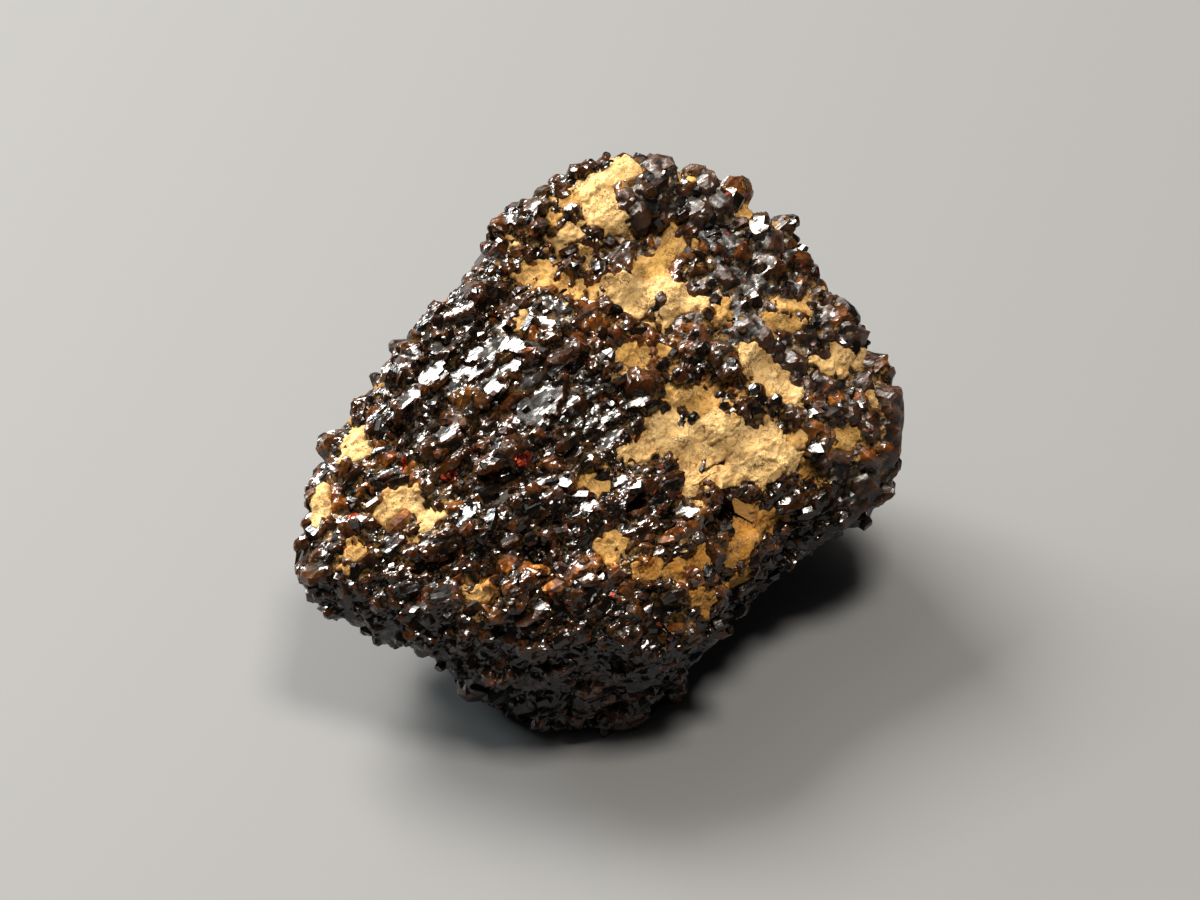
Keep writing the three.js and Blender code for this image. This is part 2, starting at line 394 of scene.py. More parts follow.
SHOWN_CLAY = (
    ShownPatch(ClayTone.SAND, 1.0, (
        Run((0.5, 7.15), (1.2, 7.0), 0.42),
        Run((1.0, 7.3), (1.8, 7.4), 0.40),
        Run((0.8, 6.75), (1.5, 6.75), 0.22),
        Run((1.5, 7.0), (2.3, 7.0), 0.18),
        Run((1.9, 7.4), (2.1, 7.9), 0.17),
    )),
    ShownPatch(ClayTone.OCHRE, 1.0, (Run((1.3, 7.8), (1.7, 8.3), 0.36),)),
    ShownPatch(ClayTone.SAND, 0.9, (
        Run((0.0, 9.35), (0.15, 9.2), 0.42),
        Run((-0.5, 9.8), (0.1, 10.0), 0.24),
        Run((0.1, 10.1), (0.6, 10.4), 0.22),
        Run((0.3, 8.95), (0.6, 8.9), 0.14),
    )),
    ShownPatch(ClayTone.OCHRE, 0.6, (
        Run((-0.9, 9.5), (-0.6, 9.7), 0.17),
        Run((-1.2, 9.05), (-0.9, 9.05), 0.12),
        Run((1.8, 10.2), (2.1, 10.05), 0.18),
        Run((2.9, 9.9), (3.2, 9.7), 0.15),
    )),
    ShownPatch(ClayTone.SAND, 0.65, (
        Run((-1.0, 8.55), (-0.7, 8.85), 0.18),
        Run((-2.2, 8.25), (-1.95, 8.5), 0.12),
        Run((-2.1, 6.7), (-2.0, 6.45), 0.11),
    )),
    ShownPatch(ClayTone.OCHRE, 0.68, (
        Run((-1.75, 7.65), (-1.2, 7.55), 0.25),
        Run((-1.6, 7.85), (-1.4, 7.8), 0.15),
        Run((-0.9, 7.4), (-0.7, 7.1), 0.14),
    )),
    ShownPatch(ClayTone.OCHRE, 0.62, (
        Run((-0.45, 8.15), (-0.3, 7.5), 0.22),
        Run((-0.3, 7.4), (-0.15, 6.95), 0.17),
        Run((-0.1, 6.8), (0.2, 6.4), 0.13),
    )),
    ShownPatch(ClayTone.OCHRE, 0.7, (
        Run((0.35, 5.6), (1.0, 5.5), 0.28),
        Run((0.7, 5.8), (0.9, 5.9), 0.16),
        Run((1.5, 5.8), (1.45, 5.5), 0.12),
    )),
    ShownPatch(ClayTone.OCHRE, 1.0, (Run((1.85, 4.6), (2.5, 4.6), 0.24),)),
    ShownPatch(ClayTone.SAND, 1.0, (
        Run((1.6, 3.8), (2.6, 3.8), 0.42),
        Run((2.6, 3.85), (3.3, 3.7), 0.42),
        Run((0.7, 3.15), (1.4, 3.5), 0.20),
        Run((2.2, 3.2), (2.8, 3.3), 0.28),
        Run((3.4, 3.5), (4.3, 3.65), 0.30),
        Run((3.7, 2.95), (4.6, 3.15), 0.34),
        Run((3.6, 2.7), (4.2, 2.7), 0.20),
    )),
    ShownPatch(ClayTone.SAND, 1.0, (
        Run((3.65, 5.7), (3.75, 5.4), 0.18),
        Run((3.9, 5.35), (4.4, 5.15), 0.22),
        Run((4.2, 5.0), (4.75, 4.7), 0.23),
    )),
    ShownPatch(ClayTone.SAND, 1.0, (
        Run((5.6, 5.5), (6.0, 5.55), 0.22),
        Run((6.0, 5.6), (6.6, 5.55), 0.19),
    )),
    ShownPatch(ClayTone.SAND, 1.0, (
        Run((6.9, 4.9), (6.95, 4.5), 0.16),
        Run((6.95, 4.5), (7.15, 4.3), 0.16),
        Run((5.7, 7.15), (6.1, 6.6), 0.20),
    )),
    ShownPatch(ClayTone.OCHRE, 0.9, (
        Run((4.6, 6.95), (5.0, 6.85), 0.15),
        Run((4.4, 6.4), (4.65, 6.4), 0.18),
        Run((2.95, 6.6), (3.05, 6.9), 0.11),
    )),
    ShownPatch(ClayTone.OCHRE, 0.8, (
        Run((3.15, 4.8), (3.45, 4.65), 0.13),
        Run((4.55, 3.65), (5.0, 3.55), 0.13),
        Run((6.1, 3.55), (6.5, 3.5), 0.19),
    )),
    ShownPatch(ClayTone.RUST, 0.5, (
        Run((6.5, 3.75), (6.9, 3.7), 0.15),
        Run((6.6, 3.3), (6.9, 3.2), 0.14),
        Run((5.1, 2.65), (5.4, 2.6), 0.16),
        Run((4.85, 2.15), (5.05, 1.85), 0.13),
    )),
    ShownPatch(ClayTone.SAND, 1.0, (
        Run((-6.5, 3.15), (-5.9, 3.3), 0.27),
        Run((-6.25, 3.6), (-6.2, 3.4), 0.24),
    )),
    ShownPatch(ClayTone.SAND, 0.95, (Run((-7.15, 2.2), (-7.15, 1.4), 0.17),)),
    ShownPatch(ClayTone.SAND, 0.95, (
        Run((-5.2, 2.05), (-4.85, 2.2), 0.17),
        Run((-5.3, 1.75), (-5.1, 1.85), 0.18),
        Run((-4.85, 1.9), (-4.6, 1.8), 0.12),
    )),
    ShownPatch(ClayTone.SAND, 1.0, (
        Run((-4.75, 1.2), (-4.45, 1.45), 0.22),
        Run((-4.4, 1.45), (-4.05, 1.7), 0.12),
    )),
    ShownPatch(ClayTone.OCHRE, 0.9, (
        Run((-6.35, 0.5), (-6.2, 0.7), 0.18),
        Run((-3.2, -0.4), (-3.0, -0.4), 0.13),
    )),
    ShownPatch(ClayTone.RUST, 1.0, (
        Run((3.4, 1.15), (4.1, 1.45), 0.21),
        Run((4.0, 1.5), (4.4, 1.45), 0.15),
        Run((3.25, 0.65), (3.45, 0.8), 0.19),
    )),
    ShownPatch(ClayTone.RUST, 1.0, (
        Run((1.9, 0.25), (2.45, 0.45), 0.27),
        Run((1.1, 0.2), (1.45, 0.35), 0.14),
    )),
    ShownPatch(ClayTone.RUST, 0.95, (
        Run((3.3, -0.2), (3.6, 0.15), 0.17),
        Run((2.35, -0.3), (2.4, -0.6), 0.13),
        Run((2.65, -0.4), (2.65, -0.7), 0.14),
    )),
    ShownPatch(ClayTone.OCHRE, 1.0, (
        Run((0.15, 0.85), (0.4, 0.95), 0.17),
        Run((-0.35, 2.5), (-0.1, 2.5), 0.16),
    )),
    ShownPatch(ClayTone.SAND, 1.0, (
        Run((2.15, 2.6), (2.3, 2.5), 0.13),
        Run((2.4, 2.3), (2.7, 2.4), 0.14),
        Run((2.2, 2.2), (2.4, 2.0), 0.09),
        Run((2.95, 2.55), (3.2, 2.5), 0.11),
    )),
)


@dataclass(frozen=True)
class FarClay:
    """Clay for the stone's far sides, laid at random where none is listed.

    Odds are those of the clay's tones, in their order.
    """

    seed: int = 5
    turned_away: float = 0.15
    least_back: float = -0.3
    lowest: float = 2.4
    foremost: float = 0.4
    gap: Span = (1.0, 3.4)
    length: Span = (0.1, 0.9)
    reach_root: Span = (0.35, 0.75)
    cover: Span = (0.3, 1.0)
    odds: tuple[float, float, float] = (0.45, 0.35, 0.2)

    def patches(self, spots: np.ndarray, outward: np.ndarray) -> tuple[Patch, ...]:
        """Lays the patches.

        Args:
            spots: the body's points in millimetres, one a row.
            outward: its unit normals there.

        Returns:
            The patches.
        """
        random = np.random.default_rng(self.seed)
        free = (outward[:, 2] - outward[:, 1] < -self.turned_away) & (outward[:, 1] > self.least_back)
        free &= (spots[:, 2] > self.lowest) & (spots[:, 1] > self.foremost)
        patches = []
        for site in random.permutation(len(spots)):
            if not free[site]:
                continue
            free[np.linalg.norm(spots - spots[site], axis=1) < random.uniform(*self.gap)] = False
            aside = np.cross(outward[site], random.normal(size=3))
            end = spots[site] + aside * random.uniform(*self.length)
            tone = random.choice(list(ClayTone), p=self.odds)
            streak = Streak(tuple(spots[site]), tuple(end), random.uniform(*self.reach_root) ** 2)
            patches.append(Patch(tone, random.uniform(*self.cover), (streak,)))
        return tuple(patches)


@dataclass
class Skin:
    """The lie of the crystal's skin, point by point.

    Bare is 1 where no clay lies, zones hold how much each point belongs to a zone, and marks hold the
    values that the material reads.
    """

    spots: np.ndarray
    outward: np.ndarray
    bare: np.ndarray
    zones: dict[Zone, np.ndarray]
    marks: dict[str, np.ndarray]


@dataclass
class Stone:
    """The crystal: the body with a skin of intergrown small crystals."""

    clay: ClayMap
    side: ShownSide
    knob_zone: tuple[Run, ...] = (
        Run((2.2, 8.8), (5.2, 6.4), 2.6),
        Run((5.2, 6.4), (6.8, 3.3), 2.0),
    )
    blade_zone: tuple[Run, ...] = (
        Run((-5.0, 4.0), (-1.0, 5.5), 3.0),
        Run((-3.5, 2.0), (1.0, 1.5), 2.4),
    )
    warm_zone: tuple[Run, ...] = (
        Run((-6.6, 2.3), (-5.2, 2.0), 0.8),
        Run((-5.4, 2.9), (-3.7, 2.8), 0.7),
        Run((-3.4, -0.2), (-0.6, 0.3), 0.6),
        Run((-0.6, 0.3), (1.4, 0.6), 0.7),
        Run((-2.4, -0.5), (-1.3, -0.5), 0.5),
        Run((-1.4, 6.3), (-0.4, 6.7), 0.6),
        Run((-1.9, 4.9), (-1.6, 5.6), 0.5),
        Run((0.2, 6.1), (2.4, 6.0), 0.5),
        Run((-3.8, 4.5), (-3.0, 4.7), 0.45),
        Run((-3.6, 6.4), (-3.0, 6.6), 0.45),
        Run((-3.4, 7.6), (-3.0, 7.8), 0.35),
        Run((5.1, 4.8), (6.8, 5.0), 0.6),
        Run((5.6, 3.6), (6.9, 3.6), 0.7),
        Run((0.8, -0.1), (3.4, 0.4), 0.8),
    )
    flow_zone: tuple[Run, ...] = (
        Run((-3.5, -0.2), (-2.6, -0.2), 0.40),
        Run((-1.4, 0.15), (-0.2, 0.4), 0.45),
        Run((-1.3, -0.3), (-0.6, -0.1), 0.30),
        Run((-0.2, 0.5), (1.0, 0.3), 0.35),
    )
    # painted red glints: spots whose colour stands in for light reflected inside the crystal
    painted_glint_zone: tuple[Run, ...] = (
        Run((-2.1, 3.0), (-2.08, 2.95), 0.13),
        Run((-1.9, 3.05), (-1.9, 2.95), 0.09),
        Run((-2.4, 2.2), (-2.38, 2.2), 0.06),
        Run((-5.3, 3.1), (-5.28, 3.1), 0.07),
        Run((-4.97, 2.8), (-4.9, 3.0), 0.07),
        Run((-3.8, 2.7), (-3.7, 2.7), 0.07),
        Run((-3.2, 3.2), (-3.15, 3.2), 0.07),
        Run((-6.3, 1.6), (-6.2, 1.6), 0.06),
        Run((-4.6, -0.5), (-4.6, -0.4), 0.09),
    )
    bright_zone: tuple[Run, ...] = (
        Run((-4.5, 5.05), (-3.4, 5.5), 0.85),
        Run((-3.7, 5.75), (-2.5, 6.0), 0.80),
        Run((-2.7, 5.1), (-2.1, 5.2), 0.55),
        Run((-3.2, 4.4), (-2.8, 4.5), 0.30),
        Run((-1.8, 6.95), (-1.4, 6.9), 0.30),
        Run((-1.5, 6.5), (-0.95, 6.7), 0.34),
        Run((0.05, 8.15), (0.9, 8.4), 0.30),
        Run((4.7, 6.35), (5.1, 6.5), 0.28),
        Run((5.25, 6.8), (5.45, 6.75), 0.24),
        Run((-3.7, 1.5), (-3.2, 1.75), 0.30),
        Run((-2.95, 1.5), (-2.7, 1.85), 0.18),
    )
    # the dark zone: faces turned down from the light, with painted shade, the colour pushed to black
    dark_zone: tuple[Run, ...] = (
        Run((-5.2, 3.85), (-4.4, 3.9), 0.50),
        Run((-4.2, 4.35), (-3.9, 4.3), 0.30),
        Run((-3.5, 2.6), (-2.8, 2.6), 0.45),
        Run((-4.8, 0.4), (-3.3, 0.4), 0.70),
        Run((-5.9, 1.2), (-5.3, 0.6), 0.50),
        Run((-2.5, 1.3), (-0.4, 1.5), 0.80),
        Run((-0.9, 4.4), (1.4, 4.4), 0.45),
        Run((0.6, 2.6), (1.8, 2.0), 0.60),
        Run((1.2, 2.8), (2.0, 2.7), 0.35),
        Run((-7.0, -0.1), (-5.2, 0.0), 0.60),
        Run((-5.2, -0.3), (-3.6, -0.6), 0.60),
        Run((5.2, 1.8), (7.2, 2.6), 0.90),
        Run((3.2, 2.0), (3.9, 2.0), 0.50),
        Run((2.6, 7.6), (4.2, 7.2), 0.80),
        Run((1.9, 9.9), (3.0, 9.3), 0.50),
        Run((2.3, 5.1), (3.2, 5.0), 0.50),
        Run((6.1, 4.2), (6.8, 4.2), 0.40),
        Run((-1.0, 5.4), (-0.2, 5.5), 0.40),
        Run((-3.5, 6.8), (-3.0, 6.8), 0.35),
    )
    breaks: tuple[Break, ...] = (
        Break((-4.85, 4.4), 0.24),
        Break((-3.85, 3.75), 0.30, (-0.24, -0.26, 0.94)),
        Break((-0.8, 3.25), 0.20),
        Break((-1.6, 4.3), 0.42, (-0.20, -0.28, 0.94)),
        Break((-0.9, 2.55), 0.22, (-0.28, -0.20, 0.94)),
        Break((0.4, 2.4), 0.18),
        Break((-0.6, 4.45), 0.16),
        Break((0.2, 4.15), 0.18),
        Break((0.9, 4.5), 0.18),
        Break((-0.4, 1.8), 0.18, (-0.26, -0.18, 0.95)),
        Break((-1.75, -0.8), 0.26, (-0.30, -0.20, 0.93)),
        Break((-4.75, -0.55), 0.18),
        Break((-6.7, 1.4), 0.18),
        Break((-5.2, 5.2), 0.16),
        Break((-5.5, 4.8), 0.14),
        Break((-1.65, 9.35), 0.22),
        Break((-2.3, 8.85), 0.20),
        Break((-0.85, 9.3), 0.18),
        Break((1.3, 10.15), 0.20),
        Break((2.2, 9.3), 0.24, (-0.18, -0.32, 0.93)),
        Break((3.8, 8.75), 0.26),
        Break((4.6, 7.8), 0.20),
        Break((3.5, 7.1), 0.24, (-0.24, -0.20, 0.95)),
        Break((5.2, 4.2), 0.26),
        Break((5.3, 3.35), 0.18),
        Break((6.5, 5.2), 0.20),
        Break((5.2, 5.1), 0.14),
        Break((1.9, 1.5), 0.24),
        Break((0.2, 3.5), 0.26, (-0.22, -0.24, 0.95)),
        Break((0.3, 5.05), 0.20, (-0.26, -0.20, 0.95)),
    )
    bright_gap_size: float = 0.35
    bright_gap_fade: Span = (-0.35, -0.20)
    under_fade: Span = (0.0, 0.6)
    clay_sink: float = 0.20
    glance_spread: float = 0.09
    dark_lean: Spot = (0.1, -0.45, -0.15)
    dark_spread: float = 0.3
    stretch: float = 0.45
    facet_size: float = 0.70
    facet_bend: float = 0.3
    facet_bend_size: float = 0.8
    facet_tilt: float = 0.60
    facet_slope: float = 0.4
    facet_most: float = 0.24
    break_ragged: float = 0.20
    break_ragged_size: float = 0.3
    break_proud: float = 0.03
    break_fade: float = 0.06
    break_dish: float = 0.04
    break_slope: float = 0.3
    break_most: float = 0.35
    sown_from: float = 0.3
    crystal_scatter: float = 0.5
    crystal_reach: float = 1.8
    crystal_most: float = 2.0
    crops: tuple[GrainCrop, ...] = (
        GrainCrop(
            Zone.EVERYWHERE, 0.28, 0.12, 0.22, 1.6, sunk=0.78, lean=1.1, share=0.50, seed=14, valley=0.10
        ),
        GrainCrop(Zone.EVERYWHERE, 0.36, 0.15, 0.28, 1.6, sunk=0.80, lean=0.9, share=0.60, seed=13),
        GrainCrop(Zone.BLADES, 0.60, 0.17, 0.32, 2.4, sunk=0.78, lean=0.5, share=0.75, seed=12),
        GrainCrop(Zone.EVERYWHERE, 0.95, 0.30, 0.55, 1.3, sunk=0.88, lean=0.9, share=0.50, seed=15),
        GrainCrop(Zone.KNOBS, 0.62, 0.27, 0.42, 1.1, sunk=0.75, lean=0.9, share=0.85, seed=11),
    )

    def build(self, body: Body, material: bpy.types.Material) -> tuple[bpy.types.Object, Skin]:
        """Makes the crystal piece.

        Args:
            body: the smooth body that it is made on.
            material: its material.

        Returns:
            The finished object, riding on the root body in place of the CAD node, and the lie of its skin.
        """
        shape = body.shape()
        mesh = bpy.data.meshes.new("painite_skin")
        shape.to_mesh(mesh)
        shape.free()
        spots = read_spots(mesh) / MM
        outward = read_normals(mesh)
        inside, _, cover = self.clay.read(spots)
        knobs = self._zone(spots, self.knob_zone)
        dark = self._zone(spots, self.dark_zone)
        unbroken = smooth_step(soft_noise(spots, self.bright_gap_size), *self.bright_gap_fade)
        bright = self._zone(spots, self.bright_zone) * unbroken
        under = smooth_step(-outward[:, 2], *self.under_fade)
        facets = self._facets(spots, outward, bright, dark)
        facets = facets * (1 - 0.8 * smooth_step(inside, -0.3, 0.1)) * (1 - 0.3 * under)
        raised = spots + outward * facets[:, None]
        zones = {
            Zone.EVERYWHERE: np.ones(len(spots)),
            Zone.KNOBS: knobs,
            Zone.BLADES: self._zone(spots, self.blade_zone),
        }
        zones = {zone: weight * (1 - 0.85 * bright) * (1 - 0.2 * under) for zone, weight in zones.items()}
        tone = np.zeros(len(spots))
        for crop in self.crops:
            raised, tone = self._grow(raised, outward, crop, zones[crop.zone], tone)
        raised, polish = self._break_off(raised, outward)
        polish = np.maximum(polish, bright)
        raised -= outward * (self.clay_sink * cover * smooth_step(inside, -0.18, 0.12))[:, None]
        raised = kept_in_box(raised)
        write_spots(mesh, raised * MM)
        marks = {
            "tone": tone,
            "crown": crownness(mesh, raised),
            "polish": polish,
            # painted shade: the colour pushed to black in the dark zone
            "warmth": self._zone(spots, self.warm_zone) - 1.4 * dark,
            "flow": self._zone(spots, self.flow_zone),
            "painted_glint": self._zone(spots, self.painted_glint_zone),
            "chipped": (1 - 0.85 * polish) * (1 - 0.7 * knobs) * (1 - 0.4 * under),
            "dull": knobs * (1 - polish),
            "clay_near": smooth_step(inside, -0.7, 0.1),
            "underside": smooth_step(-outward[:, 2], -0.1, 0.5),
        }
        for name, values in marks.items():
            write_attribute(mesh, name, values)
        write_bake_map(mesh, raised, outward, np.ones(len(mesh.polygons), bool))
        piece = dressed(mesh, material, CRYSTAL_EDGE)
        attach(piece, BODY)
        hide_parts(CAD_NODE)
        bare = 1 - smooth_step(inside, -0.25, 0.05) * (0.3 + 0.7 * cover)
        return piece, Skin(raised, outward, bare, zones, marks)

    def _zone(self, spots: np.ndarray, runs: tuple[Run, ...]) -> np.ndarray:
        """How much each spot belongs to a zone, from 0 to 1."""
        near = np.max([self.side.streak(run).nearness(spots) for run in runs], axis=0)
        return smooth_step(near, 0.0, 0.3)

    def _facets(
        self, spots: np.ndarray, outward: np.ndarray, bright: np.ndarray, dark: np.ndarray
    ) -> np.ndarray:
        """Breaks the skin into flat faces, drawn out along the lean, that each look their own way.

        Args:
            spots: the body's points in millimetres.
            outward: its unit normals there.
            bright: how much each point's face turns to the glancing light, from 0 to 1.
            dark: how much each point's face turns down to the front, from 0 to 1.

        Returns:
            The height of the faces over the body.
        """
        along = Vector(LEAN_AXIS).normalized()
        seeds = np.empty_like(spots)
        for i, spot in enumerate(spots):
            bent = Vector(spot) + self.facet_bend * noise.noise_vector(Vector(spot / self.facet_bend_size))
            bent = (bent - along * (self.stretch * bent.dot(along))) / self.facet_size
            seeds[i] = noise.voronoi(bent)[1][0]
        kinds, cell = np.unique(np.round(seeds, 3), axis=0, return_inverse=True)
        cell = cell.ravel()
        jitter = np.array([noise.cell_vector(Vector(kind) * CELL_MIX) for kind in kinds])[cell] - 0.5
        middle = average_in(cell, spots)
        outside = average_in(cell, outward)
        lit = (average_in(cell, bright[:, None]) > 0.5) * 1.0
        shaded = (average_in(cell, dark[:, None]) > 0.5) * (1 - lit)
        facing = (outside + self.facet_tilt * jitter) * (1 - lit - shaded)
        facing += (np.array(GLANCE) + self.glance_spread * jitter) * lit
        facing += (outside + np.array(self.dark_lean) + self.dark_spread * jitter) * shaded
        facing /= np.linalg.norm(facing, axis=1)[:, None]
        climb = along_rows(middle - spots, facing)
        climb /= np.maximum(along_rows(outward, facing), self.facet_slope)
        return np.clip(climb, -self.facet_most, self.facet_most)

    def _break_off(self, spots: np.ndarray, outward: np.ndarray) -> tuple[np.ndarray, np.ndarray]:
        """Levels the skin at the bright faces.

        Args:
            spots: the skin's points in millimetres.
            outward: the body's unit normals there.

        Returns:
            The moved points, and how polished each is, from 0 to 1.
        """
        ragged = soft_noise(spots, self.break_ragged_size)
        along = unit(np.array(LEAN_AXIS))
        polish = np.zeros(len(spots))
        for flat in self.breaks:
            facing = unit(np.array(flat.facing))
            nearest = np.argmin(np.linalg.norm(spots - np.array(self.side.spot(flat.middle)), axis=1))
            middle = spots[nearest] + self.break_proud * outward[nearest]
            offsets = spots - middle
            offsets = offsets - self.stretch * np.outer(offsets @ along, along)
            gaps = np.linalg.norm(offsets, axis=1) + self.break_ragged * ragged
            share = smooth_step(flat.reach - gaps, 0.0, self.break_fade)
            dish = self.break_dish * (gaps / flat.reach) ** 2
            climb = (middle - spots) @ facing / np.maximum(outward @ facing, self.break_slope) + dish
            spots = spots + outward * (share * np.clip(climb, -self.break_most, self.break_most))[:, None]
            polish = np.maximum(polish, share)
        return spots, polish

    def _grow(
        self,
        spots: np.ndarray,
        outward: np.ndarray,
        crop: GrainCrop,
        weight: np.ndarray,
        tone: np.ndarray,
    ) -> tuple[np.ndarray, np.ndarray]:
        """Raises the skin to a crop of small crystals.

        Args:
            spots: the skin's points in millimetres.
            outward: the body's unit normals there.
            crop: the crystals to grow.
            weight: how much each point belongs to the crop's zone, from 0 to 1.
            tone: a shade from 0 to 1 for each point, kept where no crystal stands.

        Returns:
            The raised points, and the new shades: each crystal has one of its own.
        """
        floor = spots - outward * (crop.valley * weight)[:, None]
        tree = near_tree(spots)
        random = np.random.default_rng(crop.seed)
        free = weight > self.sown_from
        rise = np.zeros(len(spots))
        shades = tone.copy()
        for site in random.permutation(len(spots)):
            if not free[site]:
                continue
            own = np.random.default_rng((crop.seed, int(site)))
            radius = own.uniform(crop.smallest, crop.largest)
            reach = max(self.crystal_reach * radius, crop.spacing)
            near = np.array([hit[1] for hit in tree.find_range(spots[site], reach)])
            gaps = np.linalg.norm(spots[near] - spots[site], axis=1)
            free[near[gaps < crop.spacing]] = False
            if own.random() > crop.share:
                continue
            axis = unit(np.array(LEAN_AXIS) + own.normal(0, self.crystal_scatter, 3) * crop.lean)
            normals, distances = crop.faces(axis, own)
            shade = own.random()
            middle = floor[site] - outward[site] * crop.sunk * radius
            slope = outward[near] @ normals.T
            gap = distances * radius + normals @ middle - floor[near] @ normals.T
            with np.errstate(divide="ignore"):
                along = gap / slope
            leave = np.where(slope > LEVEL, along, np.inf).min(axis=1)
            leave = np.minimum(leave, self.crystal_most * radius)
            enter = np.where(slope < -LEVEL, along, -np.inf).max(axis=1)
            high = np.where((enter < leave) & (leave > rise[near]), leave, rise[near])
            shades[near] = np.where(high > rise[near], shade, shades[near])
            rise[near] = high
        return floor + outward * (rise * weight)[:, None], shades


@dataclass(frozen=True)
class ShardCrop:
    """One crop of sharp crystals that stand free in the skin."""

    zone: Zone
    spacing: float
    smallest: float
    largest: float
    stretch: float
    squash: float
    sunk: float
    share: float
    seed: int
    wobble: float = 0.15
    girth: Span = (0.8, 1.1)
    length: Span = (0.7, 1.15)
    waist: Span = (0.3, 0.8)
    end_girth: Span = (0.25, 0.8)
    end_drift: float = 0.25

    def shard(self, axis: np.ndarray, random: np.random.Generator) -> np.ndarray:
        """The corners of one crystal, a six-sided prism with its ends cut.

        Args:
            axis: the unit direction that the crystal grew along.
            random: the crystal's source of random numbers.

        Returns:
            Four rings of six corners, from its foot to its head, about its middle.
        """
        across = unit(np.cross(axis, random.normal(size=3)))
        aside = np.cross(axis, across) * self.squash
        radius = random.uniform(self.smallest, self.largest)
        half = radius * self.stretch * random.uniform(*self.length)
        angles = np.arange(SIDES) * math.pi / (SIDES / 2) + random.normal(0, self.wobble, SIDES)
        reach = radius * random.uniform(*self.girth, SIDES)
        ring = np.outer(np.cos(angles) * reach, across) + np.outer(np.sin(angles) * reach, aside)
        rings = []
        for height, scale, drift in (
            (-half, random.uniform(*self.end_girth), self.end_drift),
            (-half * random.uniform(*self.waist), 1.0, 0.0),
            (half * random.uniform(*self.waist), 1.0, 0.0),
            (half, random.uniform(*self.end_girth), self.end_drift),
        ):
            shift = drift * radius * (random.uniform(-1, 1) * across + random.uniform(-1, 1) * aside)
            rings.append(ring * scale + axis * height + shift)
        return np.concatenate(rings)


@dataclass
class Shards:
    """Sharp small crystals, each a closed prism of its own, that stand in the skin."""

    scatter: float = 0.45
    foot: float = 0.35
    least_bare: float = 0.45
    tone_seed: int = 20
    crown_share: float = 0.12
    polish: float = 0.25
    chipped: float = 0.15
    crops: tuple[ShardCrop, ...] = (
        ShardCrop(Zone.KNOBS, 0.80, 0.20, 0.32, 1.0, squash=0.95, sunk=1.10, share=0.45, seed=23),
        ShardCrop(Zone.BLADES, 0.55, 0.13, 0.23, 1.7, squash=0.80, sunk=0.90, share=0.75, seed=22),
        ShardCrop(Zone.EVERYWHERE, 0.36, 0.10, 0.20, 1.2, squash=0.90, sunk=0.85, share=0.80, seed=21),
    )

    def build(self, skin: Skin, material: bpy.types.Material) -> bpy.types.Object:
        """Makes the piece that holds all the sharp crystals.

        Args:
            skin: the skin that they stand in.
            material: their material.

        Returns:
            The finished object, riding on the root body.
        """
        sites, corners = self._place(skin)
        spots = kept_in_box(corners)
        triangles = self._triangles(len(sites))
        mesh = bpy.data.meshes.new("sharp_crystals")
        mesh.from_pydata((spots * MM).tolist(), [], triangles.tolist())
        owners = np.repeat(sites, RINGS * SIDES)
        outward = skin.outward[owners]
        own_tones = np.random.default_rng(self.tone_seed).random(len(sites))
        own_marks = {
            "tone": np.repeat(own_tones, RINGS * SIDES),
            "crown": self.crown_share * along_rows(spots - skin.spots[owners], outward),
            "polish": np.full(len(spots), self.polish),
            "chipped": np.full(len(spots), self.chipped),
            "dull": np.zeros(len(spots)),
        }
        for name, values in skin.marks.items():
            write_attribute(mesh, name, own_marks.get(name, values[owners]))
        first, second, third = (spots[triangles[:, k]] for k in range(3))
        facing = np.cross(second - first, third - first)
        write_bake_map(mesh, spots, outward, along_rows(facing, outward[triangles[:, 0]]) > 0)
        piece = dressed(mesh, material, CRYSTAL_EDGE)
        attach(piece, BODY)
        return piece

    def _place(self, skin: Skin) -> tuple[list[int], np.ndarray]:
        """Sows the crystals where the skin is bare, crop by crop, so that none stands in another's place.

        Args:
            skin: the skin that they stand in.

        Returns:
            The skin's point that each stands at, and all their corners in millimetres, one a row.
        """
        tree = near_tree(skin.spots)
        taken = np.zeros(len(skin.spots), bool)
        sites, corners = [], []
        for crop in self.crops:
            sown = skin.zones[crop.zone] * skin.bare > self.least_bare
            free = ~taken & sown & (skin.spots[:, 2] > self.foot)
            for site in np.random.default_rng(crop.seed).permutation(len(free)):
                if not free[site]:
                    continue
                own = np.random.default_rng((crop.seed, int(site)))
                near = [hit[1] for hit in tree.find_range(skin.spots[site], crop.spacing)]
                free[near] = False
                if own.random() > crop.share:
                    continue
                taken[near] = True
                axis = unit(np.array(LEAN_AXIS) + own.normal(0, self.scatter, 3))
                middle = skin.spots[site] - skin.outward[site] * crop.sunk * crop.smallest
                corners.append(middle + crop.shard(axis, own))
                sites.append(site)
        return sites, np.concatenate(corners)

    def _triangles(self, count: int) -> np.ndarray:
        """The corners of each triangle of many crystals, one triangle a row."""
        rows = []
        head = (RINGS - 1) * SIDES
        for k in range(SIDES):
            ahead = (k + 1) % SIDES
            for ring in range(0, head, SIDES):
                rows.append((ring + k, ring + ahead, ring + SIDES + ahead))
                rows.append((ring + k, ring + SIDES + ahead, ring + SIDES + k))
        for k in range(1, SIDES - 1):
            rows.append((head, head + k, head + k + 1))
            rows.append((0, k + 1, k))
        return (np.array(rows)[None] + RINGS * SIDES * np.arange(count)[:, None, None]).reshape(-1, 3)


